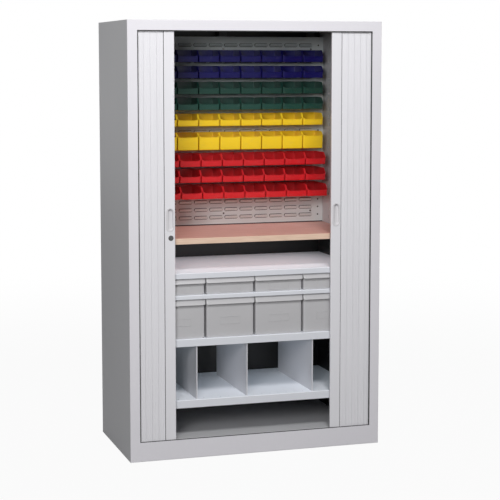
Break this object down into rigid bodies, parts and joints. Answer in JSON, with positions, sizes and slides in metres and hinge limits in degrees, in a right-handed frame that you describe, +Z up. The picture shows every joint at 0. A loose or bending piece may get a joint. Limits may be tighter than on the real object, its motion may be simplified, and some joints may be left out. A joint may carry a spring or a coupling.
{
  "type": "roll front tool cabinet",
  "caption": "Free-standing steel cabinet with sideways-rolling tambour doors, louvred panel of hanging bins, plywood worktop, shelves, dividers and pull-out bins.",
  "frame": {"origin": "on the floor, at the middle of the cabinet's footprint", "axes": "+Z up, +X to the right seen from the front, +Y from the front to the back"},
  "size_m": [1.2, 0.6, 1.98],
  "materials": {
    "front_white": "satin powder coat",
    "casing_grey": "satin powder coat",
    "interior_dark": "satin powder coat",
    "track_plastic": "matte",
    "door_white": "satin, finely reeded",
    "pull_white": "satin",
    "lock_steel": "nickel plated",
    "panel_grey": "satin powder coat",
    "worktop_wood": "plywood, clear lacquer",
    "shelf_grey": "satin powder coat",
    "divider_grey": "satin powder coat",
    "bin_grey": "satin",
    "bin_blue": "satin",
    "bin_green": "satin",
    "bin_yellow": "satin",
    "bin_red": "satin"
  },
  "bodies": {
    "cabinet": {"front_stile_left": "front_white", "front_stile_right": "front_white", "top_rail": "front_white", "bottom_rail": "front_white", "side_panel_left": "casing_grey", "side_panel_right": "casing_grey", "back_panel": "casing_grey", "top_panel": "casing_grey", "base_pan": "casing_grey", "ceiling_pan": "interior_dark", "panel_uprights": "interior_dark", "worktop_angles": "interior_dark", "shelf_brackets": "interior_dark", "bottom_track": "track_plastic", "top_track": "track_plastic", "front_slats_left": "door_white", "front_slats_right": "door_white", "stored_slats": "door_white", "panel_screws": "lock_steel", "louvred_panel": "panel_grey", "liner_left": "panel_grey", "liner_right": "panel_grey", "floor_tray": "panel_grey", "worktop": "worktop_wood", "shelf_over_shallow_bins": "shelf_grey", "shelf_under_shallow_bins": "shelf_grey", "shelf_over_dividers": "shelf_grey", "shelf_under_dividers": "shelf_grey", "divider_left": "divider_grey", "divider_centre": "divider_grey", "divider_right": "divider_grey", "blue_bins_upper": "bin_blue", "blue_bins_lower": "bin_blue", "green_bins_upper": "bin_green", "green_bins_lower": "bin_green", "yellow_bins_small": "bin_yellow", "yellow_bins_tall": "bin_yellow", "red_bins_upper": "bin_red", "red_bins_middle": "bin_red", "red_bins_lower": "bin_red"},
    "left_door": {"leading_stile_left": "door_white", "pull_block_left": "door_white", "finger_pull_left": "pull_white", "guide_shoes_left": "track_plastic", "lock_sleeve": "lock_steel"},
    "right_door": {"leading_stile_right": "door_white", "pull_block_right": "door_white", "finger_pull_right": "pull_white", "guide_shoes_right": "track_plastic", "lock_keeper": "lock_steel"},
    "lock": {"lock_barrel": "lock_steel", "lock_hook": "lock_steel"},
    "shallow_bin_1": {"shallow_bin_1": "bin_grey"},
    "shallow_bin_2": {"shallow_bin_2": "bin_grey"},
    "shallow_bin_3": {"shallow_bin_3": "bin_grey"},
    "shallow_bin_4": {"shallow_bin_4": "bin_grey"},
    "deep_bin_1": {"deep_bin_1": "bin_grey"},
    "deep_bin_2": {"deep_bin_2": "bin_grey"},
    "deep_bin_3": {"deep_bin_3": "bin_grey"},
    "deep_bin_4": {"deep_bin_4": "bin_grey"}
  },
  "joints": [
    {"name": "left_door_slide", "type": "slide", "parent": "cabinet", "child": "left_door", "axis": [-1, 0, 0], "range_m": [-0.3845, 0.125], "deforming": ["front_slats_left"]},
    {"name": "right_door_slide", "type": "slide", "parent": "cabinet", "child": "right_door", "axis": [1, 0, 0], "range_m": [-0.3595, 0.148], "deforming": ["front_slats_right"]},
    {"name": "lock_turn", "type": "hinge", "parent": "left_door", "child": "lock", "pos_m": [-0.405, -0.284, 1.011], "axis": [0, 1, 0], "range_deg": [0, 90]},
    {"name": "shallow_bin_1_slide", "type": "slide", "parent": "cabinet", "child": "shallow_bin_1", "axis": [0, -1, 0], "range_m": [0, 0.008]},
    {"name": "shallow_bin_2_slide", "type": "slide", "parent": "cabinet", "child": "shallow_bin_2", "axis": [0, -1, 0], "range_m": [0, 0.3]},
    {"name": "shallow_bin_3_slide", "type": "slide", "parent": "cabinet", "child": "shallow_bin_3", "axis": [0, -1, 0], "range_m": [0, 0.3]},
    {"name": "shallow_bin_4_slide", "type": "slide", "parent": "cabinet", "child": "shallow_bin_4", "axis": [0, -1, 0], "range_m": [0, 0.008]},
    {"name": "deep_bin_1_slide", "type": "slide", "parent": "cabinet", "child": "deep_bin_1", "axis": [0, -1, 0], "range_m": [0, 0.008]},
    {"name": "deep_bin_2_slide", "type": "slide", "parent": "cabinet", "child": "deep_bin_2", "axis": [0, -1, 0], "range_m": [0, 0.3]},
    {"name": "deep_bin_3_slide", "type": "slide", "parent": "cabinet", "child": "deep_bin_3", "axis": [0, -1, 0], "range_m": [0, 0.3]},
    {"name": "deep_bin_4_slide", "type": "slide", "parent": "cabinet", "child": "deep_bin_4", "axis": [0, -1, 0], "range_m": [0, 0.008]}
  ]
}
